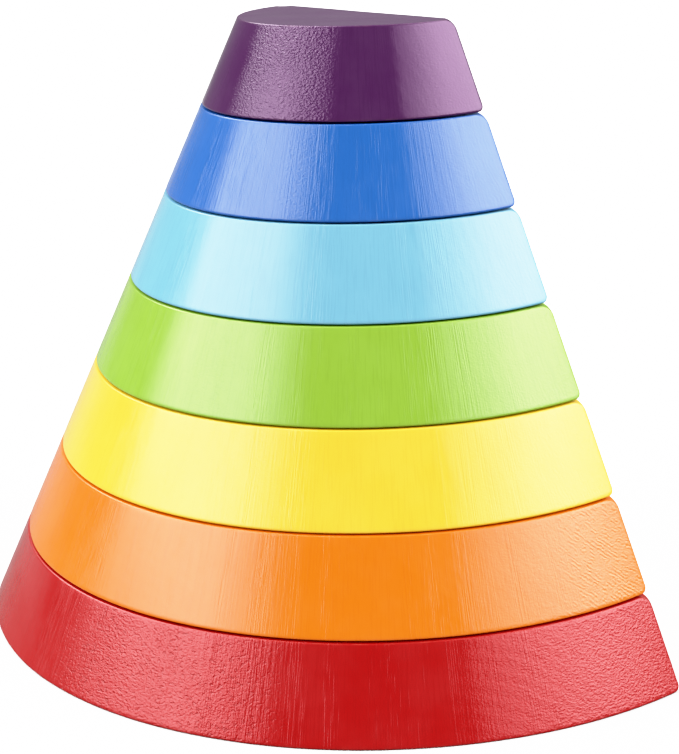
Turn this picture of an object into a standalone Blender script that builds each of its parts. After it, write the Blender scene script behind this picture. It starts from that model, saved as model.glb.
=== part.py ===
"""Seven-block stacking half cone.

Seven solid wooden blocks, each a half disc in plan with a sloping curved front and an upright flat back, rest
loosely on one another and make up one half of a cone with a flat top. Metres, +Z up. The origin is at the middle of
the bounding box's base, the flat backs face +Y and the curved fronts face -Y.
"""
import math

import bmesh
import bpy

# Driving dimensions, in metres
BASE_RADIUS = 0.097        # cone radius at the bottom of the lowest block
TOP_RADIUS = 0.030         # cone radius at the top of the highest block
BLOCK_HEIGHT = 0.0197      # thickness of each block
SEAT_GAP = 0.0003          # clearance between a block and the one it rests on
TOP_ROUND = 0.0005         # rounding radius of the edges around a block's top face
BOTTOM_ROUND = 0.0004      # rounding radius of the edges around a block's bottom face
CORNER_ROUND = 0.0010      # rounding radius of the two upright corners

ARC_STEPS = 40             # straight pieces along the curved front
ROUND_SEGMENTS = 3         # straight pieces across a rounded edge

# Bottom to top: name, paint colour (linear RGB)
BLOCKS = (
    ("red_block", (0.560, 0.014, 0.016)),
    ("orange_block", (0.930, 0.260, 0.014)),
    ("yellow_block", (0.950, 0.760, 0.050)),
    ("green_block", (0.370, 0.640, 0.060)),
    ("light_blue_block", (0.260, 0.630, 0.830)),
    ("blue_block", (0.035, 0.180, 0.620)),
    ("purple_block", (0.100, 0.022, 0.110)),
)
PAINT_ROUGHNESS = 0.32

PITCH = BLOCK_HEIGHT + SEAT_GAP
STACK_HEIGHT = len(BLOCKS) * PITCH - SEAT_GAP
SLOPE = (BASE_RADIUS - TOP_RADIUS) / STACK_HEIGHT    # how fast the cone narrows with height
SIDE_LENGTH = math.hypot(1.0, SLOPE)                 # length of the sloping side per metre of height
RAKE = math.atan(SLOPE)                              # lean of the curved front from upright
# The rounded bottom edge takes the widest point of the lowest block in from the cone by this much
EDGE_LOSS = BOTTOM_ROUND * (SLOPE + SIDE_LENGTH - 1.0)
BACK_Y = (BASE_RADIUS - EDGE_LOSS) / 2.0             # half the depth of the bounding box


def clear_scene():
    for old in list(bpy.data.objects):
        bpy.data.objects.remove(old, do_unlink=True)


def paint(name, color):
    material = bpy.data.materials.new(name)
    material.use_nodes = True
    shader = material.node_tree.nodes["Principled BSDF"]
    shader.inputs["Base Color"].default_value = (*color, 1.0)
    shader.inputs["Roughness"].default_value = PAINT_ROUGHNESS
    shader.inputs["Metallic"].default_value = 0.0
    return material


def half_disc(radius):
    """Points of the half disc's outline: its round front, from the +X corner past -Y to the -X corner."""
    angles = (-math.pi * step / ARC_STEPS for step in range(ARC_STEPS + 1))
    return [(radius * math.cos(angle), radius * math.sin(angle)) for angle in angles]


def round_width(radius, edge_angle):
    """How far a rounding of this radius reaches along the faces that meet at edge_angle."""
    return radius / math.tan(edge_angle / 2.0)


def edge_width(edge):
    """Rounding width of one edge, from where it lies on the half frustum."""
    low, high = sorted(vert.co.z for vert in edge.verts)
    on_back = all(abs(vert.co.y) < 1e-6 for vert in edge.verts)
    if high - low > 1e-6:
        return CORNER_ROUND if on_back else 0.0
    is_top = low > BLOCK_HEIGHT / 2
    lean = RAKE if is_top else -RAKE
    return round_width(TOP_ROUND if is_top else BOTTOM_ROUND, math.pi / 2 + (0.0 if on_back else lean))


def block_mesh(name, bottom_radius, top_radius):
    """A half disc raised to the block's height and narrowed to its top radius, its edges marked for rounding."""
    shape = bmesh.new()
    weight = shape.edges.layers.float.new("bevel_weight_edge")
    outline = [shape.verts.new((x, y, 0.0)) for x, y in half_disc(bottom_radius)]
    base = shape.faces.new(outline)
    raised = bmesh.ops.extrude_face_region(shape, geom=[base])
    narrowing = top_radius / bottom_radius
    for vert in raised["geom"]:
        if isinstance(vert, bmesh.types.BMVert):
            vert.co = (vert.co.x * narrowing, vert.co.y * narrowing, BLOCK_HEIGHT)
    bmesh.ops.recalc_face_normals(shape, faces=shape.faces)
    widest = max(edge_width(edge) for edge in shape.edges)
    for edge in shape.edges:
        edge[weight] = edge_width(edge) / widest
    mesh = bpy.data.meshes.new(name)
    shape.to_mesh(mesh)
    shape.free()
    return mesh, widest


def add_block(index, name, color):
    bottom_z = index * PITCH
    bottom_radius = BASE_RADIUS - SLOPE * bottom_z
    top_radius = bottom_radius - SLOPE * BLOCK_HEIGHT
    mesh, widest = block_mesh(name, bottom_radius, top_radius)
    block = bpy.data.objects.new(name, mesh)
    bpy.context.scene.collection.objects.link(block)
    block.location = (0.0, BACK_Y, bottom_z)
    rounding = block.modifiers.new("rounded_edges", "BEVEL")
    rounding.limit_method = "WEIGHT"
    rounding.width = widest
    rounding.segments = ROUND_SEGMENTS
    block.data.materials.append(paint(name, color))
    block.data.shade_smooth()
    block.data.set_sharp_from_angle(angle=math.radians(30))


clear_scene()
for index, (name, color) in enumerate(BLOCKS):
    add_block(index, name, color)
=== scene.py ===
"""Looks of the stacking half cone.

Each of the seven wooden blocks is made again as a fine mesh: softly rounded edges, the slow waves that
sanding leaves and the low ridges of the grain. A procedural semi-gloss paint covers them, with saw marks,
pores and ripples showing through. The blocks stand on a pale floor between two broad soft lights, with two
weaker ones high up behind.
"""
import math

import bpy
import numpy as np
from mathutils import Matrix, Vector


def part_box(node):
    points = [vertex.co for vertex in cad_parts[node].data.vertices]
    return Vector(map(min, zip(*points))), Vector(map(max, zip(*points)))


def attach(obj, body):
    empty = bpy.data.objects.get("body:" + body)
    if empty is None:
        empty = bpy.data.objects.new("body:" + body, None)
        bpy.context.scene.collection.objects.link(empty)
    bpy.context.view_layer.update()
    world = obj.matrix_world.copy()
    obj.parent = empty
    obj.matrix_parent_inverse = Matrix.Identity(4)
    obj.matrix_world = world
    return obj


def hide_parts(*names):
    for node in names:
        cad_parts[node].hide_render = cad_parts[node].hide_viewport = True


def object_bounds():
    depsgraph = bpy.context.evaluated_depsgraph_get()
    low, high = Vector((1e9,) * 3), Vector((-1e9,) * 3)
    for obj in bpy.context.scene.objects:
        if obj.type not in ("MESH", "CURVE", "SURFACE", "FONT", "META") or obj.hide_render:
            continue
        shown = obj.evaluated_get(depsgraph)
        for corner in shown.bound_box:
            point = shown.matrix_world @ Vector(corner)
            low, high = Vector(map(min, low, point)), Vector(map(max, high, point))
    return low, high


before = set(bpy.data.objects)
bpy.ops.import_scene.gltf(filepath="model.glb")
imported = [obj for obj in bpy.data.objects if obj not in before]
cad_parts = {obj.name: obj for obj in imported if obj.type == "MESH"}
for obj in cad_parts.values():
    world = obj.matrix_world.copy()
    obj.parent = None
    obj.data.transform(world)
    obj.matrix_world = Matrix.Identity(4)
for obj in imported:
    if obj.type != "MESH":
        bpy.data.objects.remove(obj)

cad_low, cad_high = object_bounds()

MM_PER_M = 1000

# Rounding radii of the CAD blocks, in metres
TOP_ROUND = 0.0005
BOTTOM_ROUND = 0.0004
CORNER_ROUND = 0.0010

# How far the tips of a block, where the front, the back and a flat face meet, are sanded round, in metres
TOP_TIP = 0.0029
BOTTOM_TIP = 0.0017
TIP_FADE = 0.6             # share of the block's height over which the rounding fades out

# Mesh fineness
FRONT_SPACING = 0.0007     # along the curved front
SIDE_ROWS = 36             # up the sloping side
ROUND_ROWS = 5             # across a rounded edge
CORNER_COLUMNS = 8         # round an upright corner, half of them on each side of its middle
CAP_ROWS = 16              # from front to back over a flat face

# Relief pressed into the mesh: depths in metres, the rest in millimetres
WAVE_DEPTH = 0.00007
WAVE_CELL = 14.0           # about the size of one wave
RIDGE_DEPTH = 0.00002
SIDE_RIDGES = 0.25         # strength of the ridges where the fibres run along the surface
RING_SPACING = 2.6
RING_BEND = 5.0            # how far a growth ring strays from a circle
BEND_CELL = 16.0           # about the size of one bend of a ring
WAVE_SHAPE = (1.0, 1.0, 0.6)   # a number under 1 draws a wave or a bend out along that axis
BEND_SHAPE = (0.25, 1.0, 1.0)

# How a vertex's normal tells the kinds of surface apart
END_GRAIN_POWER = 1.5      # how fast the share of fibre ends falls away from the ends
BACK_NORMAL = 0.7          # Y from which it belongs to the flat back
LEVEL_NORMAL = 0.97        # Z, up or down, from which it belongs to a flat face
EDGE_LEAN = 0.45           # how much its Z differs from the plain side's in the middle of a rounded edge
EDGE_PEAK = 1.6            # share of edge there, before it is cut off at 1
EDGE_FALL = 4              # how fast the share falls on both sides of it

# Noise scales under the paint, in features per millimetre
STREAK_SCALE = 2.8         # saw marks
SCORE_SCALE = 1.5          # single saw marks that stand out
GROUP_SCALE = 0.2          # groups of saw marks
PEBBLE_SCALE = 1.6
PATCH_SCALE = 0.05         # patches with more or fewer pebbles
PIT_SCALE = 1.1
WANDER_SCALE = 0.5         # how the ripples wander
BREAK_SCALE = 0.6          # where the ripples are broken
GRAIN_SCALE = 1.3          # grain on the flat faces
CLOUD_SCALE = 0.075        # thicker and thinner paint
RUB_SCALE = 0.35           # worn spots along the edges
GLOSS_SCALE = 0.11
FINE_GLOSS_SCALE = 1.1

# How many times longer than wide, or wider than tall, a trace is
STREAK_LENGTH = 26.0
PEBBLE_FLATNESS = 1.5
GRAIN_LENGTH = 20.0

# Relief under the paint, in millimetres
STREAK_HEIGHT = 0.019
SCORE_HEIGHT = 0.006
PEBBLE_HEIGHT = 0.085
FINE_RING_SPACING = 0.9
RIPPLE_HEIGHT = 0.008
RIPPLE_WANDER = 9.0        # how far a ripple strays, in radians of its wave
PIT_DEPTH = 0.04
GRAIN_HEIGHT = 0.004

# How noise turns into traces: as it goes from the first number to the second, they go from the third to the
# fourth, or from 0 to 1
GROUP_RAMP = (0.38, 0.64, 0.25, 1.2)
STREAK_RAMP = (0.36, 0.64)
SCORE_RAMP = (0.66, 0.74)
PATCH_RAMP = (0.35, 0.6, 0.6, 1.0)
PIT_RAMP = (0.6, 0.72)
BREAK_RAMP = (0.42, 0.6)
CLOUD_RAMP = (0.3, 0.7)
RUB_RAMP = (0.42, 0.72, 0.1, 0.8)
MARK_RAMP = (0.75, 1.0, 0.0, 0.3)

# The same, over the share of fibre ends at the surface
STREAK_FADE = (0.76, 0.85, 1.0, 0.2)
PEBBLE_RISE = (0.6, 0.84)
RIPPLE_RISE = (0.8, 0.848)

BAND_SOFTNESS = 7          # degrees, on each side of where the pebbles' band ends
SEED_SHIFT = (7.3, 3.1, 1.7)   # millimetres that the traces move with each seed

# Paint: how far its colour is moved towards black, white or bare wood, and its roughness
THICK_SHADE = 0.03
THIN_SHADE = 0.008
MARK_SHADE = 0.16
# Painted shade in the pits: how far their colour goes towards black, more the deeper they are
PIT_PAINTED_SHADE = 0.5
PIT_SHADE_PER_MM = 8.0        # share of that for each millimetre of depth
WEAR_SHADE = 0.07
WOOD_COLOUR = (0.72, 0.52, 0.32)
BLACK = (0.0, 0.0, 0.0)
WHITE = (1.0, 1.0, 1.0)
ROUGHNESS = (0.07, 0.11)
FINE_ROUGHNESS = 0.03
WEAR_ROUGHNESS = 0.1
FLAT_ROUGHNESS = 0.1       # added on the flat faces

# Camera, in degrees and metres. Seen from the object, it stands to the right of the curved front.
CAMERA_AZIMUTH = 48.85
CAMERA_DISTANCE = 0.4476   # level distance from the cone's axis
CAMERA_HEIGHT = 0.1851
CAMERA_PITCH = 16.648
CAMERA_YAW = -1.191
CAMERA_ROLL = -2.147
FOCAL_LENGTH = 90.8        # millimetres, on Blender's 36 mm sensor

# The studio. Directions are in degrees: across is counted to the right from the camera, and up from the
# horizon. Each pair is where a side of the light starts and where it is full.
SOFT_LIGHTS = (
    {"brightness": 7.1, "across": ((-111, -94), (-27, -64)), "up": ((2, 23), (62, 50))},
    {"brightness": 2.3, "across": ((23, 31), (120, 90)), "up": ((5, 26), (58, 44))},
    {"brightness": 7.0, "across": ((26, 74), (120, 90)), "up": ((5, 26), (58, 44))},
    {"brightness": 8.5, "across": ((-175, -150), (-104, -120)), "up": ((20, 38), (80, 65))},
    {"brightness": 4.5, "across": ((90, 115), (170, 145)), "up": ((38, 52), (84, 70))},
)
ROOM_BRIGHTNESS = 0.32
BACKDROP_BRIGHTNESS = 2.0
FLOOR_SEEN = 0.85
FLOOR_REFLECTED = 0.2
FLOOR_ROUGHNESS = 0.9
FLOOR_REACH = 6            # metres from the middle to each side

# Display: how dark tones deepen, where bright ones start to roll off, and the brightness shown as white
TONE_TOE = 0.03
TONE_KNEE = 0.7
TONE_WHITE = 2.0
TONE_STEPS = (0.01, 0.02, 0.04, 0.08, 0.16, 0.3, 0.5, 0.7, 0.85, 1.0, 1.2, 1.5)

# Linear RGB of each block's paint, bottom to top
PAINTS = {
    "red_block": (0.341, 0.009, 0.009),
    "orange_block": (0.693, 0.163, 0.008),
    "yellow_block": (0.799, 0.485, 0.043),
    "green_block": (0.236, 0.396, 0.043),
    "light_blue_block": (0.164, 0.396, 0.535),
    "blue_block": (0.026, 0.119, 0.393),
    "purple_block": (0.066, 0.019, 0.073),
}

# Colour and strength of the gloss, where the pigment tints it
PLAIN_GLOSS = (WHITE, 0.5)
GLOSSES = {
    "red_block": ((1.0, 0.46, 0.48), 0.95),
    "light_blue_block": ((1.0, 0.85, 1.0), 0.5),
    "purple_block": ((1.0, 0.68, 1.0), 0.5),
}

# How strongly each kind of trace shows in each block. Pebbles lie in the band between two angles round the
# front, in degrees to the right of its middle, and ends is their strength where the fibres end. Pith is
# where the middle of the tree lies, in millimetres from the middle of the block's back edge: behind the
# block, and up from its base.
WOODS = {
    "red_block": {
        "seed": 1, "streaks": 1.1, "band": (0, 33), "pebbles": 1.0, "ends": 1.15,
        "ripples": 0.6, "ridges": 1.0, "pits": 1.0, "pith": (-60.0, -35.0)},
    "orange_block": {
        "seed": 2, "streaks": 0.9, "band": (15, 35), "pebbles": 0.2, "ends": 0.5,
        "ripples": 2.0, "ridges": 0.5, "pits": 0.0, "pith": (90.0, 110.0)},
    "yellow_block": {
        "seed": 3, "streaks": 0.75, "band": (20, 40), "pebbles": 0.2, "ends": 0.3,
        "ripples": 0.8, "ridges": 0.5, "pits": 0.0, "pith": (160.0, 20.0)},
    "green_block": {
        "seed": 4, "streaks": 0.85, "band": (10, 30), "pebbles": 0.3, "ends": 0.4,
        "ripples": 0.8, "ridges": 0.5, "pits": 0.2, "pith": (150.0, -10.0)},
    "light_blue_block": {
        "seed": 5, "streaks": 0.8, "band": (5, 25), "pebbles": 0.2, "ends": 0.3,
        "ripples": 0.8, "ridges": 0.6, "pits": 0.0, "pith": (170.0, 30.0)},
    "blue_block": {
        "seed": 6, "streaks": 1.1, "band": (22, 38), "pebbles": 0.7, "ends": 0.3,
        "ripples": 0.8, "ridges": 0.6, "pits": 0.3, "pith": (140.0, 0.0)},
    "purple_block": {
        "seed": 7, "streaks": 0.4, "band": (-4, 34), "pebbles": 3.4, "ends": 0.4,
        "ripples": 0.4, "ridges": 0.4, "pits": 0.2, "pith": (120.0, 40.0)},
}


def cone_from_boxes():
    """Radius at the base and slope of the cone's side, from the lowest and the highest block's boxes."""
    low_first, high_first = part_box("red_block")
    low_last, high_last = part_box("purple_block")
    slope = (high_first.x - high_last.x) / (low_last.z - low_first.z)
    edge_loss = BOTTOM_ROUND * (slope + math.hypot(1.0, slope) - 1.0)
    return high_first.x + edge_loss, slope


BASE_RADIUS, SLOPE = cone_from_boxes()
RAKE = math.atan(SLOPE)
BACK_Y = cad_high.y


def rounded_profile(height):
    """Rows from the edge of the bottom face up to the edge of the top face.

    Each row has the front's height and its distance in from the cone's radius at the block's base, then the
    back's height and its distance in from the flat back.
    """
    rows = []
    lean = math.hypot(1.0, SLOPE)
    for step in range(ROUND_ROWS):
        share = step / ROUND_ROWS
        front = -math.pi / 2 + (math.pi / 2 + RAKE) * share
        back = -math.pi / 2 + math.pi / 2 * share
        middle = SLOPE * BOTTOM_ROUND + BOTTOM_ROUND * lean
        rows.append((
            BOTTOM_ROUND * (1 + math.sin(front)), middle - BOTTOM_ROUND * math.cos(front),
            BOTTOM_ROUND * (1 + math.sin(back)), BOTTOM_ROUND * (1 - math.cos(back))))
    low = BOTTOM_ROUND * (1 + math.sin(RAKE))
    high = height - TOP_ROUND * (1 - math.sin(RAKE))
    for step in range(SIDE_ROWS + 1):
        share = step / SIDE_ROWS
        front_z = low + (high - low) * share
        back_z = BOTTOM_ROUND + (height - TOP_ROUND - BOTTOM_ROUND) * share
        rows.append((front_z, SLOPE * front_z, back_z, 0.0))
    for step in range(1, ROUND_ROWS + 1):
        share = step / ROUND_ROWS
        front = RAKE + (math.pi / 2 - RAKE) * share
        back = math.pi / 2 * share
        middle = SLOPE * (height - TOP_ROUND) + TOP_ROUND * lean
        rows.append((
            height - TOP_ROUND * (1 - math.sin(front)), middle - TOP_ROUND * math.cos(front),
            height - TOP_ROUND * (1 - math.sin(back)), TOP_ROUND * (1 - math.cos(back))))
    return rows


def half_disc_loop(radius, front_z, back_inset, back_z, columns):
    """One row of points round the block: the +X corner's middle, the front, the -X corner and the back."""
    corner_x = math.sqrt((radius - CORNER_ROUND) ** 2 - (back_inset + CORNER_ROUND) ** 2)
    start = math.atan2(back_inset + CORNER_ROUND, corner_x)
    half = CORNER_COLUMNS // 2

    def corner(step):
        """Step 0 is where the corner meets the front, CORNER_COLUMNS where it meets the back."""
        share = step / CORNER_COLUMNS
        angle = -start + (math.pi / 2 + start) * share
        ease = share * share * (3 - 2 * share)
        return (
            corner_x + CORNER_ROUND * math.cos(angle),
            -back_inset - CORNER_ROUND + CORNER_ROUND * math.sin(angle),
            front_z + (back_z - front_z) * ease)

    points = [corner(half - step) for step in range(half)]
    for column in range(columns + 1):
        angle = start + (math.pi - 2 * start) * column / columns
        points.append((radius * math.cos(angle), -radius * math.sin(angle), front_z))
    points += [(-x, y, z) for x, y, z in (corner(step) for step in range(1, CORNER_COLUMNS))]
    for column in range(columns + 1):
        points.append((-corner_x * math.cos(math.pi * column / columns), -back_inset, back_z))
    points += [corner(CORNER_COLUMNS - step) for step in range(1, half)]
    return points


def round_tips(points, base_radius, height):
    """Slides the points near the block's four tips along the surface, so that the tips are round."""
    radius = base_radius - SLOPE * points[:, 2]

    # Distance from the sharp corner, less about what the corner's own rounding takes off
    away = np.hypot(np.abs(points[:, 0]) - radius, points[:, 1]) - CORNER_ROUND / 3
    level = points[:, 2] / height
    top_share = (level - (1 - TIP_FADE)) / TIP_FADE
    bottom_share = (TIP_FADE - level) / TIP_FADE
    for tip, share, sign in ((TOP_TIP, top_share, -1), (BOTTOM_TIP, bottom_share, 1)):
        missing = np.clip(tip - away, 0, tip)
        share = np.clip(share, 0, 1)
        points[:, 2] += sign * (tip - np.sqrt(tip ** 2 - missing ** 2)) * share
    points[:, :2] *= ((base_radius - SLOPE * points[:, 2]) / radius)[:, None]
    return points


def block_shape(node):
    """Points and faces of one block."""
    low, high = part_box(node)
    base_radius = BASE_RADIUS - SLOPE * low.z
    columns = 2 * round(math.pi * base_radius / FRONT_SPACING / 2)
    points = []
    for front_z, front_in, back_z, back_in in rounded_profile(high.z - low.z):
        points += half_disc_loop(base_radius - front_in, front_z, back_in, back_z, columns)
    around = 2 * columns + 2 * CORNER_COLUMNS
    rows = len(points) // around
    faces = []
    for row in range(rows - 1):
        for column in range(around):
            following = (column + 1) % around
            faces.append((
                row * around + column, (row + 1) * around + column,
                (row + 1) * around + following, row * around + following))
    for row, upwards in ((0, False), (rows - 1, True)):
        cap_faces(points, faces, row * around, around, upwards)
    points = round_tips(np.array(points), base_radius, high.z - low.z) + (0.0, BACK_Y, low.z)
    return points, faces


def cap_faces(points, faces, first, around, upwards):
    """Closes the loop of points that starts at first with rows of faces between its front and its back."""
    half = around // 2
    previous = [first] * (CAP_ROWS + 1)
    for column in range(1, half + 1):
        front, back = first + column, first + (around - column) % around
        if column == half:
            line = [front] * (CAP_ROWS + 1)
        else:
            start, end = np.array(points[front]), np.array(points[back])
            line = [front]
            for row in range(1, CAP_ROWS):
                line.append(len(points))
                points.append(tuple(start + (end - start) * row / CAP_ROWS))
            line.append(back)
        for row in range(CAP_ROWS):
            corners = [previous[row], line[row], line[row + 1], previous[row + 1]]
            corners = [c for k, c in enumerate(corners) if c not in corners[:k]]
            faces.append(tuple(reversed(corners)) if upwards else tuple(corners))
        previous = line


def make_block(node):
    """Adds one painted block, which takes the place of the plain one."""
    points, faces = block_shape(node)
    mesh = bpy.data.meshes.new(node + "_painted")
    mesh.from_pydata([tuple(p) for p in points], [], faces)
    mesh.update()
    mesh.shade_smooth()
    finish_surface(mesh, node)
    block = bpy.data.objects.new(node + "_painted", mesh)
    bpy.context.scene.collection.objects.link(block)
    mesh.materials.append(paint(node))
    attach(block, node)
    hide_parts(node)


def smooth_noise(points, cell, seed):
    """Noise from 0 to 1 at each point, whose features are about one cell across."""
    size = 32
    lattice = np.random.RandomState(seed).rand(size, size, size)
    place = points / cell
    corner = np.floor(place).astype(int)
    share = place - corner
    share = share * share * (3 - 2 * share)
    total = np.zeros(len(points))
    for offset in np.ndindex(2, 2, 2):
        index = (corner + offset) % size
        weight = np.prod(np.where(offset, share, 1 - share), axis=1)
        total += weight * lattice[index[:, 0], index[:, 1], index[:, 2]]
    return total


def store(mesh, name, kind, values):
    """Keeps a value for each vertex, for the paint's nodes to read."""
    attribute = mesh.attributes.new(name, kind, "POINT")
    field = "vector" if kind == "FLOAT_VECTOR" else "value"
    attribute.data.foreach_set(field, values.astype(np.float32).ravel())


def finish_surface(mesh, node):
    """Presses the traces of sanding and grain into the mesh, and stores what the paint's nodes need."""
    wood = WOODS[node]
    low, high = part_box(node)
    count = len(mesh.vertices)
    points = np.empty(count * 3)
    normals = np.empty(count * 3)
    mesh.vertices.foreach_get("co", points)
    mesh.vertex_normals.foreach_get("vector", normals)
    points, normals = points.reshape(-1, 3), normals.reshape(-1, 3)

    # Millimetres, with an X and a Y that stay the same along the cone's straight lines
    shrink = (BASE_RADIUS - SLOPE * points[:, 2]) / (BASE_RADIUS - SLOPE * (low.z + high.z) / 2)
    sawn = (points - (0.0, BACK_Y, 0.0)) * MM_PER_M
    sawn[:, :2] /= shrink[:, None]
    store(mesh, "sawn", "FLOAT_VECTOR", sawn)

    # Degrees round the front, to the right of its middle
    store(mesh, "around", "FLOAT", np.degrees(np.arctan2(points[:, 0], BACK_Y - points[:, 1])))

    # Distance from the middle of the tree, which grew along X, in millimetres
    place = (points - (0.0, BACK_Y, low.z)) * MM_PER_M
    bend = smooth_noise(place * BEND_SHAPE, BEND_CELL, wood["seed"])
    behind, up = wood["pith"]
    rings = np.hypot(place[:, 1] - behind, place[:, 2] - up) + RING_BEND * bend
    store(mesh, "rings", "FLOAT", rings)

    # 1 where the fibres end at the surface
    end_grain = np.abs(normals[:, 0]) ** END_GRAIN_POWER
    store(mesh, "end_grain", "FLOAT", end_grain)

    # 1 on the flat faces, and 0 where the normal's Z is less than two thirds
    level = np.abs(normals[:, 2])
    store(mesh, "flat", "FLOAT", np.clip(level * 3 - 2, 0, 1))

    # 1 in the middle of a rounded edge, and 0 on the plain front and back and the flat faces
    lean = normals[:, 2] - np.where(normals[:, 1] < BACK_NORMAL, math.sin(RAKE), 0.0)
    edge = np.clip(EDGE_PEAK - np.abs(np.abs(lean) - EDGE_LEAN) * EDGE_FALL, 0, 1)
    store(mesh, "edge", "FLOAT", edge * (level < LEVEL_NORMAL))

    waves = smooth_noise(place * WAVE_SHAPE, WAVE_CELL, wood["seed"] + 1)
    ridges = 0.5 + 0.5 * np.sin(2 * math.pi * rings / RING_SPACING)
    strength = SIDE_RIDGES + (1 - SIDE_RIDGES) * end_grain
    depth = WAVE_DEPTH * waves + RIDGE_DEPTH * wood["ridges"] * ridges * strength
    points -= normals * depth[:, None]
    mesh.vertices.foreach_set("co", points.ravel())
    mesh.update()


class Nodes:
    """Short calls that add nodes to one tree and join them."""

    def __init__(self, tree):
        self.tree = tree

    def add(self, kind, inputs, output=0, **settings):
        """Adds a node, sets or links its inputs, and returns one of its outputs."""
        node = self.tree.nodes.new(kind)
        for name, value in settings.items():
            setattr(node, name, value)
        for name, value in inputs.items():
            if isinstance(value, bpy.types.NodeSocket):
                self.tree.links.new(value, node.inputs[name])
            else:
                node.inputs[name].default_value = value
        return node.outputs[output]

    def math(self, operation, first, second=0.0, third=0.0):
        return self.add("ShaderNodeMath", {0: first, 1: second, 2: third}, operation=operation)

    def ramp(self, value, start, end, low=0.0, high=1.0):
        """Goes smoothly from low to high as the value goes from start to end."""
        inputs = {"Value": value, "From Min": start, "From Max": end, "To Min": low, "To Max": high}
        return self.add("ShaderNodeMapRange", inputs, interpolation_type="SMOOTHSTEP")

    def product(self, *values):
        total = values[0]
        for value in values[1:]:
            total = self.math("MULTIPLY", total, value)
        return total

    def total(self, *values):
        result = values[0]
        for value in values[1:]:
            result = self.math("ADD", result, value)
        return result

    def attribute(self, name, output="Fac"):
        return self.add("ShaderNodeAttribute", {}, output, attribute_name=name)

    def noise(self, vector, scale, detail=0.0, roughness=0.5, distortion=0.0):
        inputs = {"Vector": vector, "Scale": scale, "Detail": detail, "Roughness": roughness,
                  "Distortion": distortion}
        return self.add("ShaderNodeTexNoise", inputs, "Fac")

    def stretch(self, vector, scale, shift=(0.0, 0.0, 0.0)):
        return self.add("ShaderNodeMapping", {"Vector": vector, "Scale": scale, "Location": shift})

    def mix(self, factor, first, second):
        inputs = {0: factor, 6: first, 7: second}
        return self.add("ShaderNodeMix", inputs, 2, data_type="RGBA")


def tinted(colour, target, share):
    """Colour moved by a share towards a target, as four numbers."""
    return (*(c + (t - c) * share for c, t in zip(colour, target)), 1.0)


def saw_marks(n, wood, sawn, end_grain):
    """Marks up the side, in groups that fade where the fibres end: their pattern, and their height."""
    groups = n.ramp(n.noise(sawn, GROUP_SCALE, detail=2.0), *GROUP_RAMP)
    groups = n.product(groups, n.ramp(end_grain, *STREAK_FADE))
    streaks = n.ramp(n.noise(sawn, STREAK_SCALE, detail=1.0, roughness=0.7), *STREAK_RAMP)
    scores = n.ramp(n.noise(sawn, SCORE_SCALE), *SCORE_RAMP)
    streak_height = n.product(n.math("SUBTRACT", streaks, 0.5), groups, STREAK_HEIGHT * wood["streaks"])
    score_height = n.product(scores, groups, SCORE_HEIGHT * wood["streaks"])
    return streaks, n.total(streak_height, score_height)


def pebbly_band(n, wood, solid):
    """1 in the band of the front where the paint is pebbly, less in patches, and 0 outside it."""
    around = n.attribute("around")
    start, end = wood["band"]
    rise = n.ramp(around, start - BAND_SOFTNESS, start + BAND_SOFTNESS)
    fall = n.ramp(around, end + BAND_SOFTNESS, end - BAND_SOFTNESS)
    patches = n.ramp(n.noise(solid, PATCH_SCALE, detail=2.0), *PATCH_RAMP)
    return n.product(rise, fall, patches)


def pebbles_and_pits(n, wood, solid, end_grain):
    """Height of the raised pores, in the band and where the fibres end, and depth of pits left unfilled."""
    band = pebbly_band(n, wood, solid)
    squat = n.stretch(solid, (1.0, 1.0, PEBBLE_FLATNESS))
    pores = n.noise(squat, PEBBLE_SCALE, detail=1.5, roughness=0.55, distortion=0.3)
    ends = n.ramp(end_grain, *PEBBLE_RISE)
    mask = n.math("MULTIPLY_ADD", ends, wood["ends"], n.product(band, wood["pebbles"]))
    pore_height = n.product(n.math("SUBTRACT", pores, 0.5), mask, PEBBLE_HEIGHT)
    pits = n.product(n.ramp(n.noise(squat, PIT_SCALE), *PIT_RAMP), band, PIT_DEPTH * wood["pits"])
    return pore_height, pits


def ring_ripples(n, wood, solid, end_grain):
    """Height of the fine broken ripples that the growth rings make on the fibre ends."""
    phase = n.math("MULTIPLY", n.attribute("rings"), 2 * math.pi / FINE_RING_SPACING)
    phase = n.math("MULTIPLY_ADD", n.noise(solid, WANDER_SCALE, detail=2.0), RIPPLE_WANDER, phase)
    breaks = n.ramp(n.noise(solid, BREAK_SCALE, detail=1.0), *BREAK_RAMP)
    ends = n.ramp(end_grain, *RIPPLE_RISE)
    return n.product(n.math("SINE", phase), ends, breaks, RIPPLE_HEIGHT * wood["ripples"])


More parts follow.
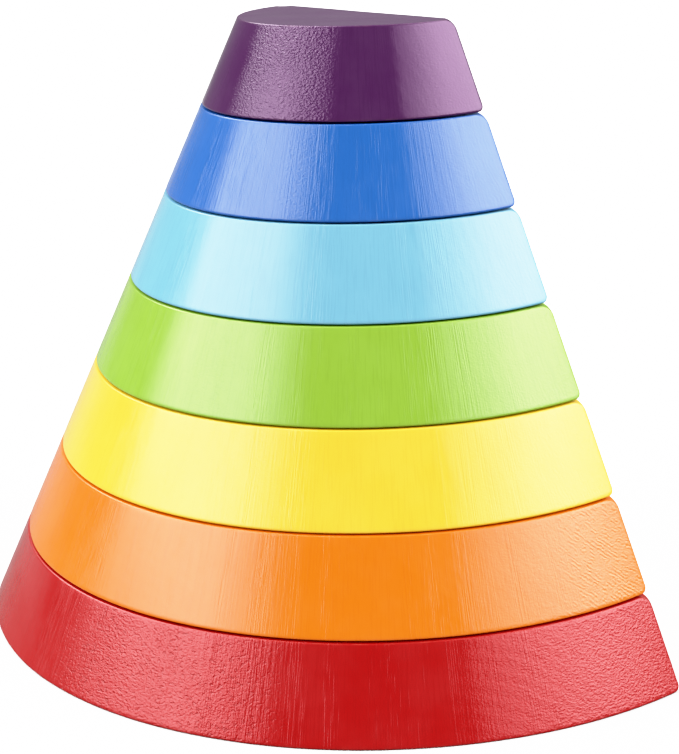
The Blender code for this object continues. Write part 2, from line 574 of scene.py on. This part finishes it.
def paint(node):
    """Semi-gloss paint over sawn and sanded wood: what lies under the paint shows in its gloss."""
    wood = WOODS[node]
    colour = PAINTS[node]
    material = bpy.data.materials.new(node + "_paint")
    material.use_nodes = True
    n = Nodes(material.node_tree)
    shader = material.node_tree.nodes["Principled BSDF"]
    tint, strength = GLOSSES.get(node, PLAIN_GLOSS)
    shader.inputs["Specular Tint"].default_value = (*tint, 1.0)
    shader.inputs["Specular IOR Level"].default_value = strength

    # Millimetres, shifted so that no two blocks look the same
    shift = tuple(step * wood["seed"] for step in SEED_SHIFT)
    sawn = n.stretch(n.attribute("sawn", "Vector"), (1.0, 1.0, 1 / STREAK_LENGTH), shift)
    solid = n.stretch(n.add("ShaderNodeTexCoord", {}, "Object"), (MM_PER_M,) * 3, shift)
    end_grain = n.attribute("end_grain")
    flat_face = n.attribute("flat")

    streaks, mark_height = saw_marks(n, wood, sawn, end_grain)
    pore_height, pits = pebbles_and_pits(n, wood, solid, end_grain)
    ripple_height = ring_ripples(n, wood, solid, end_grain)
    side_height = n.math("SUBTRACT", n.total(mark_height, pore_height, ripple_height), pits)

    # The flat faces are planed, and show only fine grain along the fibres
    grain = n.noise(n.stretch(solid, (1 / GRAIN_LENGTH, 1.0, 1.0)), GRAIN_SCALE, detail=2.0)
    heights = {0: flat_face, 2: side_height, 3: n.product(grain, GRAIN_HEIGHT)}
    height = n.add("ShaderNodeMix", heights, 0, data_type="FLOAT")
    bump = n.add("ShaderNodeBump", {"Height": height, "Strength": 1.0, "Distance": 1 / MM_PER_M})
    material.node_tree.links.new(bump, shader.inputs["Normal"])

    # Thicker and thinner paint, darker saw marks, painted shade in the pits, and edges where handling has
    # thinned it
    clouds = n.ramp(n.noise(solid, CLOUD_SCALE, detail=3.0, roughness=0.6), *CLOUD_RAMP)
    base = n.mix(clouds, tinted(colour, BLACK, THICK_SHADE), tinted(colour, WHITE, THIN_SHADE))
    base = n.mix(n.ramp(streaks, *MARK_RAMP), base, tinted(colour, BLACK, MARK_SHADE))
    worn_spots = n.ramp(n.noise(solid, RUB_SCALE, detail=3.0, roughness=0.65), *RUB_RAMP)
    rubbed = n.product(n.attribute("edge"), worn_spots)
    base = n.mix(rubbed, base, tinted(colour, WOOD_COLOUR, WEAR_SHADE))
    # Painted shade: the pits are darkened, more the deeper they are
    base = n.mix(n.math("MULTIPLY", pits, PIT_SHADE_PER_MM), base, tinted(colour, BLACK, PIT_PAINTED_SHADE))
    material.node_tree.links.new(base, shader.inputs["Base Color"])

    # The gloss varies in clouds and finely, and is duller on worn edges and on the flat faces
    gloss = n.noise(solid, GLOSS_SCALE, detail=3.0, roughness=0.6)
    gloss = n.ramp(gloss, *CLOUD_RAMP, *ROUGHNESS)
    fine_gloss = n.noise(solid, FINE_GLOSS_SCALE, detail=1.0)
    gloss = n.math("MULTIPLY_ADD", fine_gloss, FINE_ROUGHNESS, gloss)
    gloss = n.math("MULTIPLY_ADD", rubbed, WEAR_ROUGHNESS, gloss)
    gloss = n.math("MULTIPLY_ADD", flat_face, FLAT_ROUGHNESS, gloss)
    material.node_tree.links.new(gloss, shader.inputs["Roughness"])
    return material


def add_floor():
    """A pale floor. The blocks see it darker than the camera does, as if it were cut off close by."""
    mesh = bpy.data.meshes.new("floor")
    signs = ((-1, -1), (1, -1), (1, 1), (-1, 1))
    mesh.from_pydata([(FLOOR_REACH * x, FLOOR_REACH * y, 0) for x, y in signs], [], [(0, 1, 2, 3)])
    floor = bpy.data.objects.new("floor", mesh)
    bpy.context.scene.collection.objects.link(floor)
    material = bpy.data.materials.new("floor")
    material.use_nodes = True
    n = Nodes(material.node_tree)
    shader = material.node_tree.nodes["Principled BSDF"]
    shader.inputs["Roughness"].default_value = FLOOR_ROUGHNESS
    shader.inputs["Specular IOR Level"].default_value = 0.0
    seen = n.add("ShaderNodeLightPath", {}, "Is Camera Ray")
    colour = n.mix(seen, (FLOOR_REFLECTED,) * 3 + (1.0,), (FLOOR_SEEN,) * 3 + (1.0,))
    material.node_tree.links.new(colour, shader.inputs["Base Color"])
    mesh.materials.append(material)


def add_studio():
    """The soft lights in a dim room, as brightness over the direction that the light comes from."""
    world = bpy.data.worlds.new("studio")
    world.use_nodes = True
    n = Nodes(world.node_tree)
    background = world.node_tree.nodes["Background"]
    background.inputs["Color"].default_value = (1.0, 1.0, 1.0, 1.0)
    toward = n.add("ShaderNodeTexCoord", {}, "Generated")
    turn = {"Vector": toward, "Angle": -math.radians(CAMERA_AZIMUTH)}
    turned = n.add("ShaderNodeVectorRotate", turn, rotation_type="Z_AXIS")
    parts = n.add("ShaderNodeSeparateXYZ", {"Vector": turned}).node.outputs
    across = n.math("ARCTAN2", parts["X"], n.math("MULTIPLY", parts["Y"], -1.0))
    up = n.math("ARCSINE", parts["Z"])
    brightness = ROOM_BRIGHTNESS
    for light in SOFT_LIGHTS:
        sides = [n.ramp(across, math.radians(a), math.radians(b)) for a, b in light["across"]]
        heights = [n.ramp(up, math.radians(a), math.radians(b)) for a, b in light["up"]]
        brightness = n.total(n.product(light["brightness"], *sides, *heights), brightness)
    seen = n.add("ShaderNodeLightPath", {}, "Is Camera Ray")
    shown = {0: seen, 2: brightness, 3: BACKDROP_BRIGHTNESS}
    strength = n.add("ShaderNodeMix", shown, 0, data_type="FLOAT")
    world.node_tree.links.new(strength, background.inputs["Strength"])
    bpy.context.scene.world = world


def add_camera():
    """Puts the camera at the photo's viewing angle."""
    data = bpy.data.cameras.new("camera")
    data.lens = FOCAL_LENGTH
    camera = bpy.data.objects.new("camera", data)
    bpy.context.scene.collection.objects.link(camera)
    azimuth = math.radians(CAMERA_AZIMUTH)
    away = Vector((math.sin(azimuth), -math.cos(azimuth), 0.0)) * CAMERA_DISTANCE
    heading = math.radians(CAMERA_AZIMUTH - CAMERA_YAW)
    camera.matrix_world = (
        Matrix.Translation(away + Vector((0.0, BACK_Y, CAMERA_HEIGHT)))
        @ Matrix.Rotation(heading, 4, "Z")
        @ Matrix.Rotation(math.radians(90 - CAMERA_PITCH), 4, "X")
        @ Matrix.Rotation(math.radians(CAMERA_ROLL), 4, "Z"))
    bpy.context.scene.camera = camera


def tone(brightness):
    """Brightness shown for one in the scene: a little deeper in the dark, and rolled off near white."""
    deep = brightness - TONE_TOE * (1 - math.exp(-brightness / TONE_TOE))
    room = 1 - TONE_KNEE
    return deep if deep < TONE_KNEE else TONE_KNEE + room * (1 - math.exp((TONE_KNEE - deep) / room))


def set_tone():
    """Sets the display to show brightness by the tone curve."""
    view = bpy.context.scene.view_settings
    view.view_transform = "Standard"
    view.use_curve_mapping = True
    mapping = view.curve_mapping
    mapping.white_level = (TONE_WHITE, TONE_WHITE, TONE_WHITE)
    combined = mapping.curves[3]
    for brightness in TONE_STEPS:
        combined.points.new(brightness / TONE_WHITE, tone(brightness))
    combined.points[0].location = (0.0, 0.0)
    combined.points[-1].location = (1.0, tone(TONE_WHITE))
    mapping.update()


for node in PAINTS:
    make_block(node)
add_floor()
add_studio()
add_camera()
set_tone()
